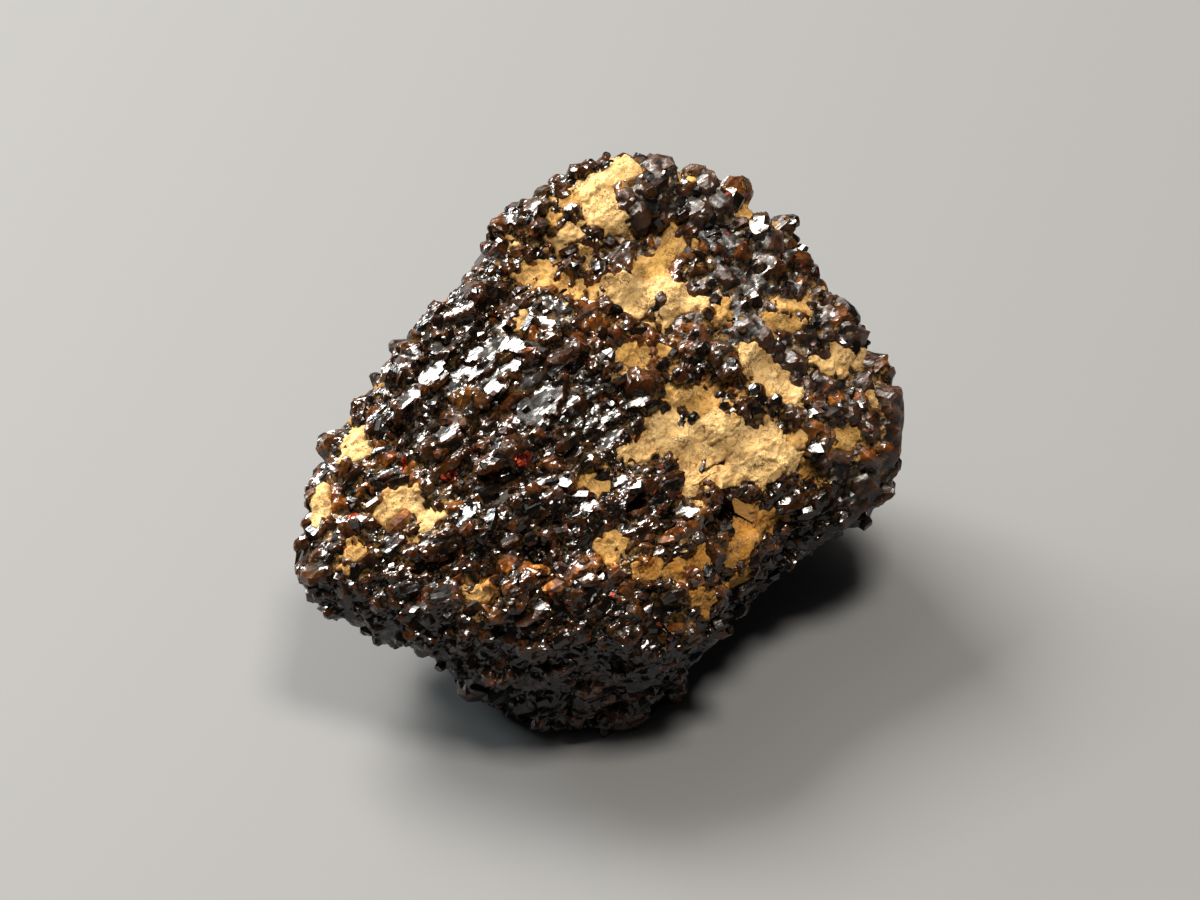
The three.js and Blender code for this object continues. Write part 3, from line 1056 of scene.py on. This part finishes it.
@dataclass
class Crust:
    """The clay: a thin closed crust that fills hollows, with crystals standing through it."""

    clay: ClayMap
    margin: float = 0.35
    foot: float = 0.1
    depth: float = 0.60
    level: float = -0.02
    thin_level: float = -0.09
    edge_dip: float = 0.30
    lumps: float = 0.04
    lump_size: float = 0.50
    knots: float = 0.025
    knot_size: float = 0.17
    grit: float = 0.020
    grit_size: float = 0.09
    grit_roughness: float = 0.7
    grit_fineness: float = 2.1
    grit_octaves: int = 3
    flake_way: Spot = (0.55, 0.7, 0.45)
    flake_size: float = 0.22
    flake_stretch: float = 0.5
    flake_bend: float = 0.10
    flake_bend_size: float = 0.25
    flake_step: float = 0.03
    flake_lean: float = 0.06
    crack_depth: float = 0.025
    crack_width: float = 0.08
    crown_rounds: int = 4

    def build(self, body: Body, material: bpy.types.Material) -> bpy.types.Object:
        """Makes the clay piece.

        Args:
            body: the smooth body that it is made on.
            material: its material.

        Returns:
            The finished object, riding on the root body.
        """
        mesh, outward, lid = self._shell(body)
        spots = read_spots(mesh) / MM
        inside, shade, cover = self.clay.read(spots)
        rise, crack = self._rise(spots, inside, cover)
        raised = kept_in_box(spots + outward * np.where(lid, rise, -self.depth)[:, None])
        write_spots(mesh, raised * MM)
        write_attribute(mesh, "shade", shade)
        write_attribute(mesh, "crack", crack)
        write_attribute(mesh, "rim", 1 - smooth_step(inside, -0.05, 0.18) * cover)
        write_attribute(mesh, "crown", crownness(mesh, raised, self.crown_rounds))
        write_bake_map(mesh, raised, outward, lid[triangle_rows(mesh)].all(axis=1))
        piece = dressed(mesh, material, CLAY_EDGE)
        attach(piece, BODY)
        return piece

    def _shell(self, body: Body) -> tuple[bpy.types.Mesh, np.ndarray, np.ndarray]:
        """Cuts the clay's patches out of the body and doubles them to a closed shell with a finer lid.

        Args:
            body: the smooth body.

        Returns:
            The shell's mesh, still without thickness, the body's unit normal at each of its points, and
            which points are the lid's.
        """
        shape = body.shape()
        way_out = shape.verts.layers.float_vector.new("way_out")
        is_lid = shape.verts.layers.float.new("is_lid")
        spots, _ = lie_of(shape)
        inside, _, _ = self.clay.read(spots)
        keep = (inside > -self.margin) & (spots[:, 2] > self.foot)
        for vertex in shape.verts:
            vertex[way_out] = vertex.normal
        shape.verts.index_update()
        bare = [face for face in shape.faces if not all(keep[v.index] for v in face.verts)]
        bmesh.ops.delete(shape, geom=bare, context="FACES")
        made = bmesh.ops.extrude_face_region(shape, geom=list(shape.faces))
        for item in made["geom"]:
            if isinstance(item, bmesh.types.BMVert):
                item[is_lid] = 1.0
        lids = [face for face in shape.faces if all(v[is_lid] > 0.5 for v in face.verts)]
        edges = list(dict.fromkeys(edge for face in lids for edge in face.edges))
        bmesh.ops.subdivide_edges(shape, edges=edges, cuts=1, use_grid_fill=True)
        bmesh.ops.triangulate(shape, faces=shape.faces)
        outward = np.array([v[way_out] for v in shape.verts])
        lid = np.array([v[is_lid] for v in shape.verts]) > 0.5
        mesh = bpy.data.meshes.new("clay_crust")
        shape.to_mesh(mesh)
        shape.free()
        return mesh, outward, lid

    def _rise(
        self, spots: np.ndarray, inside: np.ndarray, cover: np.ndarray
    ) -> tuple[np.ndarray, np.ndarray]:
        """The lie of the clay's face.

        Args:
            spots: points of the body in millimetres.
            inside: how far inside a patch each lies.
            cover: how fully that patch covers the crystals.

        Returns:
            The face's height over the body at each spot, and how deep in a crack it is, from 0 to 1.
        """
        lumps = soft_noise(spots, self.lump_size)
        knots = soft_noise(spots, self.knot_size)
        texture = (self.grit_roughness, self.grit_fineness, self.grit_octaves)
        grit = np.array([noise.fractal(Vector(s / self.grit_size), *texture) for s in spots])
        crack = np.zeros(len(spots))
        flakes = np.zeros(len(spots))
        along = Vector(self.flake_way).normalized()
        for i, spot in enumerate(spots):
            bent = Vector(spot) + self.flake_bend * noise.noise_vector(Vector(spot / self.flake_bend_size))
            bent = bent / self.flake_size
            bent = bent - along * (bent.dot(along) * self.flake_stretch)
            gaps, seeds = noise.voronoi(bent)
            crack[i] = max(0.0, 1 - (gaps[1] - gaps[0]) / self.crack_width)
            mark = seeds[0] * CELL_MIX
            lean = noise.cell_vector(mark) - Vector((0.5, 0.5, 0.5))
            flakes[i] = self.flake_step * (noise.cell(mark) - 0.5)
            flakes[i] += self.flake_lean * (bent - seeds[0]).dot(lean)
        core = smooth_step(inside, -self.margin, -0.05)
        height = cover * self.level + (1 - cover) * self.thin_level - self.crack_depth * crack
        height += self.lumps * lumps + self.knots * knots + self.grit * grit + flakes
        return core * height - (1 - core) * self.edge_dip, crack


def lie_of(shape: bmesh.types.BMesh) -> tuple[np.ndarray, np.ndarray]:
    """A shape's points in millimetres, one a row, and its unit normals there."""
    spots = np.array([vertex.co for vertex in shape.verts]) / MM
    return spots, np.array([vertex.normal for vertex in shape.verts])


def read_spots(mesh: bpy.types.Mesh) -> np.ndarray:
    """The places of a mesh's points in metres, one a row."""
    flat = np.empty(len(mesh.vertices) * 3)
    mesh.vertices.foreach_get("co", flat)
    return flat.reshape(-1, 3)


def read_normals(mesh: bpy.types.Mesh) -> np.ndarray:
    """The unit normals at a mesh's points, one a row."""
    flat = np.empty(len(mesh.vertices) * 3)
    mesh.vertex_normals.foreach_get("vector", flat)
    return flat.reshape(-1, 3)


def triangle_rows(mesh: bpy.types.Mesh) -> np.ndarray:
    """The numbers of the points of each of a mesh's triangles, one triangle a row."""
    corners = np.empty(len(mesh.loops), int)
    mesh.loops.foreach_get("vertex_index", corners)
    return corners.reshape(-1, 3)


def write_spots(mesh: bpy.types.Mesh, spots: np.ndarray) -> None:
    """Moves a mesh's points to new places, in metres."""
    mesh.vertices.foreach_set("co", spots.ravel())
    mesh.update()


def write_attribute(mesh: bpy.types.Mesh, name: str, values: np.ndarray) -> None:
    """Stores a number for each of a mesh's points, under a name that materials read."""
    layer = mesh.attributes.new(name, "FLOAT", "POINT")
    layer.data.foreach_set("value", values.astype(np.float32))


def write_bake_map(mesh: bpy.types.Mesh, spots: np.ndarray, outward: np.ndarray, shown: np.ndarray) -> None:
    """Lays out the map that colours are baked on, in six sheets for the six ways the body faces.

    Args:
        mesh: a mesh of triangles.
        spots: its points in millimetres.
        outward: the body's unit normals there.
        shown: which triangles are on the outside; the hidden ones share a strip of their own.
    """
    sheet_fill, sheet_height = 0.94, 0.48
    strip_start, strip_height = 0.97, 0.02
    corners = triangle_rows(mesh)
    facing = outward[corners].mean(axis=1)
    axis = np.argmax(np.abs(facing), axis=1)
    ahead = np.take_along_axis(facing, axis[:, None], axis=1) > 0
    share = 0.5 + sheet_fill * ((spots - BOX_LOW) / (BOX_HIGH - BOX_LOW) - 0.5)
    share = np.clip(share, 0.0, 1.0)[corners]
    across = np.take_along_axis(share, np.where(axis == 2, 1, 2)[:, None, None], axis=2)[:, :, 0]
    along = np.take_along_axis(share, np.where(axis == 0, 1, 0)[:, None, None], axis=2)[:, :, 0]
    places = np.stack([(axis[:, None] + across) / 3, (ahead + along) * sheet_height], axis=2)
    places[~shown] = np.stack([across, strip_start + strip_height * along], axis=2)[~shown]
    mesh.uv_layers.new(name="OFBake").data.foreach_set("uv", places.ravel())


def kept_in_box(spots: np.ndarray, give: float = 0.10) -> np.ndarray:
    """Spots, in millimetres, eased back so that none lies further than a give outside the CAD solid's box.

    Args:
        spots: the spots, one a row.
        give: how far outside the box a spot may lie; under its bottom none may.

    Returns:
        The eased spots. Those further than a give inside the box stay where they are.
    """
    low, high = BOX_LOW + give, BOX_HIGH - give
    over = give * 2 * (1 - np.exp(-np.maximum(spots - high, 0) / give / 2))
    under = give * 2 * (1 - np.exp(-np.maximum(low - spots, 0) / give / 2))
    kept = np.clip(spots, low, high) + over - under
    kept[:, 2] = np.maximum(kept[:, 2], low[2] - give)
    return kept


def soft_noise(spots: np.ndarray, size: float) -> np.ndarray:
    """A soft noise between about -1 and 1 at each spot, with features a given size across."""
    return np.array([noise.noise(Vector(s / size)) for s in spots])


def near_tree(spots: np.ndarray) -> KDTree:
    """A tree that finds the spots that lie near a place."""
    tree = KDTree(len(spots))
    for i, spot in enumerate(spots):
        tree.insert(spot, i)
    tree.balance()
    return tree


def unit(way: np.ndarray) -> np.ndarray:
    """A direction, brought to a length of 1."""
    return way / np.linalg.norm(way)


def along_rows(reaches: np.ndarray, ways: np.ndarray) -> np.ndarray:
    """How far each row reaches along the same row of ways."""
    return np.einsum("ij,ij->i", reaches, ways)


def average_in(group: np.ndarray, values: np.ndarray) -> np.ndarray:
    """The average row of each group, given back for every member of it."""
    count = np.bincount(group)
    means = np.stack([np.bincount(group, column) / count for column in values.T], axis=1)
    return means[group]


def smooth_step(values: np.ndarray, low: float, high: float) -> np.ndarray:
    """An even change from 0 at low to 1 at high."""
    share = np.clip((values - low) / (high - low), 0, 1)
    return share * share * (3 - 2 * share)


def crownness(mesh: bpy.types.Mesh, spots: np.ndarray, rounds: int = 6) -> np.ndarray:
    """How far each point stands out from its surroundings, or lies under them, in millimetres.

    Args:
        mesh: the mesh, for its edges and normals.
        spots: its points in millimetres.
        rounds: how many neighbours out the surroundings reach.

    Returns:
        A height for each point, over 0 on crowns and edges and under 0 in hollows.
    """
    ends = np.empty(len(mesh.edges) * 2, int)
    mesh.edges.foreach_get("vertices", ends)
    first, second = ends.reshape(-1, 2).T
    count = np.bincount(ends, minlength=len(spots))
    around = spots.copy()
    for _ in range(rounds):
        total = np.zeros_like(around)
        for axis in range(3):
            total[:, axis] = np.bincount(first, around[second, axis], len(spots))
            total[:, axis] += np.bincount(second, around[first, axis], len(spots))
        around = 0.5 * around + 0.5 * total / count[:, None]
    return along_rows(spots - around, read_normals(mesh))


def dressed(mesh: bpy.types.Mesh, material: bpy.types.Material, edge: float) -> bpy.types.Object:
    """Smooths a mesh, gives it its material and shows it.

    Args:
        mesh: the mesh.
        material: its material.
        edge: the angle from which an edge between two faces stays sharp.

    Returns:
        The object, with the mesh's name.
    """
    mesh.shade_smooth()
    mesh.set_sharp_from_angle(angle=edge)
    mesh.materials.append(material)
    return show(mesh)


def show(mesh: bpy.types.Mesh) -> bpy.types.Object:
    """Puts a mesh in the scene as an object of the same name, at the origin."""
    piece = bpy.data.objects.new(mesh.name, mesh)
    bpy.context.scene.collection.objects.link(piece)
    return piece


class Graph:
    """A material's nodes, added and joined one by one."""

    def __init__(self, name: str) -> None:
        """Starts a material with a single Principled shader."""
        self.material = bpy.data.materials.new(name)
        self.material.use_nodes = True
        self.tree = self.material.node_tree
        self.shader = self.tree.nodes["Principled BSDF"]
        self.place = self.add("ShaderNodeTexCoord").outputs["Object"]

    def add(self, kind: str, **settings: object) -> bpy.types.Node:
        """Adds a node and sets its properties."""
        node = self.tree.nodes.new(kind)
        for key, value in settings.items():
            setattr(node, key, value)
        return node

    def put(self, socket: Socket, value: Value) -> None:
        """Links a socket into another, or sets a plain value on it."""
        if isinstance(value, Socket):
            self.tree.links.new(value, socket)
        elif isinstance(value, tuple) and len(value) == 3 and socket.type == "RGBA":
            socket.default_value = (*value, 1.0)
        else:
            socket.default_value = value

    def attribute(self, name: str) -> Socket:
        """The value of a mesh attribute."""
        return self.add("ShaderNodeAttribute", attribute_name=name).outputs["Fac"]

    def maths(self, operation: str, first: Value, second: Value = 0.0, third: Value = 0.0) -> Socket:
        """One step of arithmetic."""
        node = self.add("ShaderNodeMath", operation=operation)
        for socket, value in zip(node.inputs, (first, second, third)):
            self.put(socket, value)
        return node.outputs[0]

    def times(self, first: Value, *others: Value) -> Socket:
        """The product of some values."""
        for other in others:
            first = self.maths("MULTIPLY", first, other)
        return first

    def largest(self, first: Value, *others: Value) -> Socket:
        """The largest of some values."""
        for other in others:
            first = self.maths("MAXIMUM", first, other)
        return first

    def total(self, *parts: tuple[Value, float]) -> Socket:
        """The sum of some values, each times its weight."""
        total = 0.0
        for value, weight in parts:
            total = self.maths("MULTIPLY_ADD", value, weight, total)
        return total

    def vector(
        self, operation: str, first: Value, second: Value | None = None, scale: Value | None = None
    ) -> Socket:
        """One step of arithmetic on vectors."""
        node = self.add("ShaderNodeVectorMath", operation=operation)
        self.put(node.inputs[0], first)
        if second is not None:
            self.put(node.inputs[1], second)
        if scale is not None:
            self.put(node.inputs["Scale"], scale)
        return node.outputs["Vector"]

    def spread(
        self, value: Value, low: float, high: float, to_low: float = 0.0, to_high: float = 1.0
    ) -> Socket:
        """Stretches a range of values onto another, and clamps it there."""
        node = self.add("ShaderNodeMapRange")
        for key, number in zip(("From Min", "From Max", "To Min", "To Max"), (low, high, to_low, to_high)):
            node.inputs[key].default_value = number
        self.put(node.inputs["Value"], value)
        return node.outputs["Result"]

    def grain(
        self, size: float, detail: float = 2.0, roughness: float = 0.5, place: Socket | None = None
    ) -> Socket:
        """A soft noise whose features are a given size across, in millimetres."""
        node = self.add("ShaderNodeTexNoise")
        node.inputs["Scale"].default_value = 1 / (size * MM)
        node.inputs["Detail"].default_value = detail
        node.inputs["Roughness"].default_value = roughness
        self.put(node.inputs["Vector"], place or self.place)
        return node.outputs["Fac"]

    def cells(self, size: float, place: Socket | None = None) -> Socket:
        """A random colour for each of many cells, a given size across, in millimetres."""
        node = self.add("ShaderNodeTexVoronoi")
        node.inputs["Scale"].default_value = 1 / (size * MM)
        self.put(node.inputs["Vector"], place or self.place)
        return node.outputs["Color"]

    def chips(self, size: float, channel: int = 0) -> Socket:
        """A random number for each of those cells: one channel of its colour."""
        node = self.add("ShaderNodeSeparateColor")
        self.put(node.inputs[0], self.cells(size))
        return node.outputs[channel]

    def drawn_out(self, axis: Spot, share: float) -> Socket:
        """Places squeezed by a share along an axis, so that a pattern read there is drawn out along it."""
        dot = self.add("ShaderNodeVectorMath", operation="DOT_PRODUCT")
        self.put(dot.inputs[0], self.place)
        self.put(dot.inputs[1], axis)
        along = self.vector("SCALE", axis, scale=self.times(dot.outputs["Value"], share))
        return self.vector("SUBTRACT", self.place, along)

    def mix(self, share: Value, first: Value, second: Value) -> Socket:
        """A blend of two colours."""
        node = self.add("ShaderNodeMix", data_type="RGBA")
        self.put(node.inputs["Factor"], share)
        self.put(node.inputs[6], first)
        self.put(node.inputs[7], second)
        return node.outputs[2]

    def ramp(self, value: Value, stops: tuple[tuple[float, Colour], ...]) -> Socket:
        """Turns a value into a colour, by stops of place and colour."""
        node = self.add("ShaderNodeValToRGB")
        points = node.color_ramp.elements
        while len(points) < len(stops):
            points.new(1.0)
        for point, (place, colour) in zip(points, stops):
            point.position = place
            point.color = (*colour, 1.0)
        self.put(node.inputs["Fac"], value)
        return node.outputs["Color"]

    def bump(
        self, height: Value, distance: float, strength: Value, normal: Socket | None = None
    ) -> Socket:
        """Bends the normal by a height, whose full range is a distance in millimetres."""
        node = self.add("ShaderNodeBump")
        self.put(node.inputs["Strength"], strength)
        node.inputs["Distance"].default_value = distance * MM
        self.put(node.inputs["Height"], height)
        if normal is not None:
            self.put(node.inputs["Normal"], normal)
        return node.outputs["Normal"]

    def dress(self, **values: Value) -> bpy.types.Material:
        """Puts values on the shader's inputs, named with _ for a space, and gives back the material."""
        for name, value in values.items():
            self.put(self.shader.inputs[name.replace("_", " ")], value)
        return self.material


@dataclass(frozen=True)
class PainiteFinish:
    """Glassy, near-black crystal that lets a little red and amber through, dusted with clay; red glints and
    a brown glow on crests are painted into its colour, as is shade in its hollows, its dark zone and
    underneath.
    """

    black: Colour = tint(11, 7, 4)
    umber: Colour = tint(44, 23, 9)
    olive: Colour = tint(48, 38, 14)
    brown: Colour = tint(98, 52, 16)
    amber: Colour = tint(176, 106, 36)
    ochre: Colour = tint(200, 150, 82)
    # painted red glint: the red that stands in for light reflected inside the crystal
    painted_red_glint: Colour = tint(232, 96, 66)
    lineation: Spot = (0.82, 0.48, 0.29)
    drawn_share: float = 0.5
    refraction: float = 1.6
    satin_underneath: float = 0.28
    dust_roughness: float = 0.8

    def material(self) -> bpy.types.Material:
        """Makes the material."""
        graph = Graph("painite glass")
        underside = graph.attribute("underside")
        middle = graph.grain(0.5, 3.0, 0.6)
        hollow = graph.spread(graph.attribute("crown"), -0.002, -0.03)
        painted_red_glint = self._painted_red_glints(graph, underside)
        dust = self._dust(graph, hollow)
        # painted red glints laid over the crystal's own colour
        colour = graph.mix(painted_red_glint, self._depths(graph, middle), self.painted_red_glint)
        # painted light: brown on crests and edges, standing in for light shining through thin crystal
        rim = graph.spread(graph.attribute("crown"), 0.005, 0.035, 0.0, 0.55)
        colour = graph.mix(graph.times(rim, middle), colour, self.brown)
        # painted shade: the colour turned black in the hollows
        colour = graph.mix(graph.times(hollow, 0.8), colour, self.black)
        colour = graph.mix(dust, colour, self.ochre)
        return graph.dress(
            # painted shade: the colour turned black underneath
            Base_Color=graph.mix(graph.times(underside, 0.85), colour, self.black),
            Metallic=graph.times(painted_red_glint, graph.spread(dust, 0.2, 0.0)),
            Roughness=self._roughness(graph, underside, dust),
            IOR=self.refraction,
            Normal=self._chipped(graph),
        )

    def _depths(self, graph: Graph, middle: Socket) -> Socket:
        """The colour that comes from inside the crystal, from black to ochre, greenish in places."""
        glowing = graph.spread(graph.chips(0.13, 2), 0.0, 1.0, 0.0, 0.28)
        warmth = graph.total(
            (graph.chips(0.16), 0.16),
            (graph.attribute("tone"), 0.45),
            (graph.chips(0.08), 0.14),
            (graph.grain(2.2, 2.0), 0.34),
            (middle, 0.26),
            (graph.attribute("warmth"), 0.13),
            (graph.times(graph.attribute("flow"), glowing), 1.0),
            (graph.attribute("polish"), -0.20),
        )
        colour = graph.ramp(graph.spread(warmth, 0.43, 1.22), (
            (0.0, self.black), (0.34, self.black), (0.46, self.umber),
            (0.68, self.brown), (0.88, self.amber), (1.0, self.ochre),
        ))
        greenish = graph.spread(graph.grain(1.1, 2.0), 0.52, 0.62, 0.0, 0.5)
        return graph.mix(graph.times(greenish, graph.spread(warmth, 0.62, 0.74)), colour, self.olive)

    def _painted_red_glints(self, graph: Graph, underside: Socket) -> Socket:
        """Where red glints are painted, from 0 to 1: in rare chips at random, and in the painted glint zone.
        The red stands in for light reflected inside the crystal; made metallic, it also mirrors the lamps in
        red.
        """
        painted_red_glint = graph.times(
            graph.spread(graph.chips(0.10, 1), 0.99, 0.993),
            graph.spread(graph.attribute("polish"), 0.3, 0.1),
            graph.spread(underside, 0.3, 0.1),
            graph.spread(graph.grain(1.3, 2.0), 0.47, 0.55, 0.0, 0.9),
        )
        return graph.largest(painted_red_glint, graph.attribute("painted_glint"))

    def _dust(self, graph: Graph, hollow: Socket) -> Socket:
        """Where dry clay dusts the crystal, from 0 to 1: in its hollows, most near the clay."""
        speck = graph.spread(graph.grain(0.22, 5.0, 0.8), 0.47, 0.58)
        return graph.times(hollow, speck, graph.spread(graph.attribute("clay_near"), 0.0, 1.0, 0.10, 0.8))

    def _roughness(self, graph: Graph, underside: Socket, dust: Socket) -> Socket:
        """Glassy with cloudy spots, satin on the knobs and underneath, and dry where dusted."""
        cloud = graph.spread(graph.grain(0.2, 3.0, 0.6), 0.35, 0.65, 0.05, 0.26)
        satin = graph.spread(graph.attribute("tone"), 0.75, 0.70, 0.03, 0.24)
        satin = graph.times(graph.attribute("dull"), satin)
        glassy = graph.total((cloud, 1.0), (satin, 1.0), (graph.attribute("polish"), 0.06))
        underneath = graph.times(underside, self.satin_underneath)
        return graph.largest(glassy, underneath, graph.times(dust, self.dust_roughness))

    def _chipped(self, graph: Graph) -> Socket:
        """The normal of a surface broken into small flat chips that lean at random."""
        normal = graph.add("ShaderNodeNewGeometry").outputs["Normal"]
        lean = graph.spread(graph.grain(0.9, 2.0), 0.4, 0.6, 0.15, 0.75)
        clean = graph.spread(graph.attribute("tone"), 0.70, 0.72, 1.0, 0.25)
        lean = graph.times(lean, graph.attribute("chipped"), clean)
        drawn = graph.drawn_out(self.lineation, self.drawn_share)
        for size, strength in ((0.20, 0.7), (0.075, 1.0)):
            tilt = graph.vector("SUBTRACT", graph.cells(size, drawn), (0.5, 0.5, 0.5))
            tilt = graph.vector("SCALE", tilt, scale=graph.times(lean, strength))
            normal = graph.vector("ADD", normal, tilt)
        normal = graph.vector("NORMALIZE", normal)
        ripple = graph.spread(graph.attribute("polish"), 0.0, 1.0, 0.5, 0.38)
        for size, detail, height in ((0.30, 2.0, 0.06), (0.10, 1.0, 0.02)):
            normal = graph.bump(graph.grain(size, detail, 0.5, drawn), height, ripple, normal)
        return normal


@dataclass(frozen=True)
class ClayFinish:
    """Dry, matte clay, from sand to rust."""

    sand: Colour = tint(224, 184, 118)
    ochre: Colour = tint(206, 158, 80)
    rust: Colour = tint(184, 124, 36)
    # the colour of the painted highlights on the clay
    pale: Colour = tint(243, 216, 162)
    stain: Colour = tint(164, 118, 56)
    dark: Colour = tint(100, 70, 34)
    roughness: float = 0.9
    grit_size: float = 0.08
    grit_height: float = 0.07
    grit_strength: float = 0.9

    def material(self) -> bpy.types.Material:
        """Makes the material."""
        graph = Graph("ochre clay")
        shade = graph.attribute("shade")
        colour = graph.ramp(shade, ((0.0, self.sand), (0.5, self.ochre), (1.0, self.rust)))
        # painted highlights: paler spots laid by noise, weaker on rust
        painted_highlight = graph.spread(graph.grain(0.35, 4.0, 0.7), 0.48, 0.70, 0.0, 0.6)
        colour = graph.mix(graph.times(painted_highlight, graph.spread(shade, 0.0, 1.0, 1.0, 0.25)), colour, self.pale)
        blotch = graph.spread(graph.grain(0.7, 4.0, 0.65), 0.52, 0.68, 0.0, 0.5)
        rim = graph.times(graph.attribute("rim"), graph.spread(graph.grain(0.25, 3.0), 0.35, 0.6, 0.2, 0.8))
        colour = graph.mix(graph.largest(blotch, rim), colour, self.stain)
        return graph.dress(
            Base_Color=graph.mix(self._marks_and_painted_shade(graph), colour, self.dark),
            Roughness=self.roughness,
            Normal=graph.bump(
                graph.grain(self.grit_size, 4.0, 0.75), self.grit_height, self.grit_strength
            ),
        )

    def _marks_and_painted_shade(self, graph: Graph) -> Socket:
        """Where the clay is dark, from 0 to 1: in its own specks and veins, and painted shade in hollows and
        cracks.
        """
        speck = graph.spread(graph.grain(0.09, 3.0, 0.7), 0.40, 0.30, 0.0, 0.7)
        vein = graph.maths("ABSOLUTE", graph.maths("SUBTRACT", graph.grain(0.16, 3.0, 0.6), 0.5))
        veined = graph.spread(graph.grain(0.45, 2.0), 0.44, 0.56, 0.1, 0.9)
        vein = graph.times(graph.spread(vein, 0.035, 0.010), veined)
        # painted shade: hollows and cracks darkened
        hollow = graph.spread(graph.attribute("crown"), -0.004, -0.03, 0.0, 0.5)
        return graph.largest(speck, vein, hollow, graph.times(graph.attribute("crack"), 0.4))


@dataclass(frozen=True)
class Lamp:
    """A soft rectangular lamp that faces the stone: its place and sides, its power and its colour."""

    name: str
    place: Spot
    sides: tuple[float, float]
    watts: float
    colour: Colour

    def hang(self) -> None:
        """Puts the lamp in the scene."""
        light = bpy.data.lights.new(self.name, "AREA")
        light.shape = "RECTANGLE"
        light.size, light.size_y = (side * MM for side in self.sides)
        light.energy = self.watts
        light.color = self.colour
        lamp = bpy.data.objects.new(self.name, light)
        bpy.context.scene.collection.objects.link(lamp)
        lamp.location = Vector(self.place) * MM
        lamp.rotation_mode = "QUATERNION"
        lamp.rotation_quaternion = (Vector(VIEWPOINT.target) - Vector(self.place)).to_track_quat("-Z", "Y")


@dataclass
class Studio:
    """The pale floor, the soft lights and the camera."""

    lamps: tuple[Lamp, ...] = (
        Lamp("key", (-130, 150, 190), (130, 100), 1.7, (1.0, 0.97, 0.92)),
        Lamp("front", (40, 0, 275), (70, 70), 0.85, (1.0, 0.95, 0.88)),
        Lamp("bounce", (-140, 140, 210), (320, 270), 0.36, (1.0, 0.94, 0.86)),
        Lamp("rim", (-200, 120, 90), (50, 50), 0.40, (0.82, 0.95, 1.0)),
        Lamp("overhead", (-60, 30, 300), (320, 300), 0.18, (1.0, 0.94, 0.86)),
    )
    room_colour: Colour = (0.65, 0.66, 0.68)
    room_strength: float = 0.05
    floor_half: float = 600.0
    floor_colour: Colour = (0.14, 0.14, 0.14)
    floor_roughness: float = 0.7
    focal: float = 144.0
    sensor: float = 36.0
    nearest: float = 5.0
    furthest: float = 5000.0

    def build(self) -> None:
        """Sets up the floor, camera, lights and world."""
        self._floor()
        self._camera()
        for lamp in self.lamps:
            lamp.hang()
        world = bpy.data.worlds.new("room")
        world.use_nodes = True
        background = world.node_tree.nodes["Background"]
        background.inputs["Color"].default_value = (*self.room_colour, 1)
        background.inputs["Strength"].default_value = self.room_strength
        bpy.context.scene.world = world
        bpy.context.scene.view_settings.view_transform = "Standard"

    def _floor(self) -> None:
        """Lays a plain pale floor."""
        shape = bmesh.new()
        bmesh.ops.create_grid(shape, x_segments=1, y_segments=1, size=self.floor_half * MM)
        mesh = bpy.data.meshes.new("floor")
        shape.to_mesh(mesh)
        shape.free()
        graph = Graph("pale floor")
        mesh.materials.append(graph.dress(Base_Color=self.floor_colour, Roughness=self.floor_roughness))
        show(mesh)

    def _camera(self) -> None:
        """Places the camera, looking down on the stone from the front."""
        back = Vector(VIEWPOINT.back())
        lens = bpy.data.cameras.new("camera")
        lens.lens = self.focal
        lens.sensor_width = self.sensor
        lens.clip_start = self.nearest * MM
        lens.clip_end = self.furthest * MM
        camera = bpy.data.objects.new("camera", lens)
        bpy.context.scene.collection.objects.link(camera)
        camera.location = (Vector(VIEWPOINT.target) + back * VIEWPOINT.distance) * MM
        camera.rotation_mode = "QUATERNION"
        camera.rotation_quaternion = (-back).to_track_quat("-Z", "Y")
        bpy.context.scene.camera = camera


def main() -> None:
    """Builds the scene and reports its pieces."""
    noise.seed_set(NOISE_SEED)
    body = Body()
    spots, outward = body.lie()
    side = ShownSide(spots, outward)
    clay = ClayMap(tuple(shown.patch(side) for shown in SHOWN_CLAY) + FarClay().patches(spots, outward))
    log.info("%d patches of clay", len(clay.patches))
    glass = PainiteFinish().material()
    stone, skin = Stone(clay, side).build(body, glass)
    shards = Shards().build(skin, glass)
    crust = Crust(clay).build(body, ClayFinish().material())
    for piece in (stone, shards, crust):
        log.info("%s: %d faces", piece.name, len(piece.data.polygons))
    Studio().build()


if __name__ == "__main__":
    logging.basicConfig(level=logging.INFO, format="%(name)s: %(message)s")
    main()
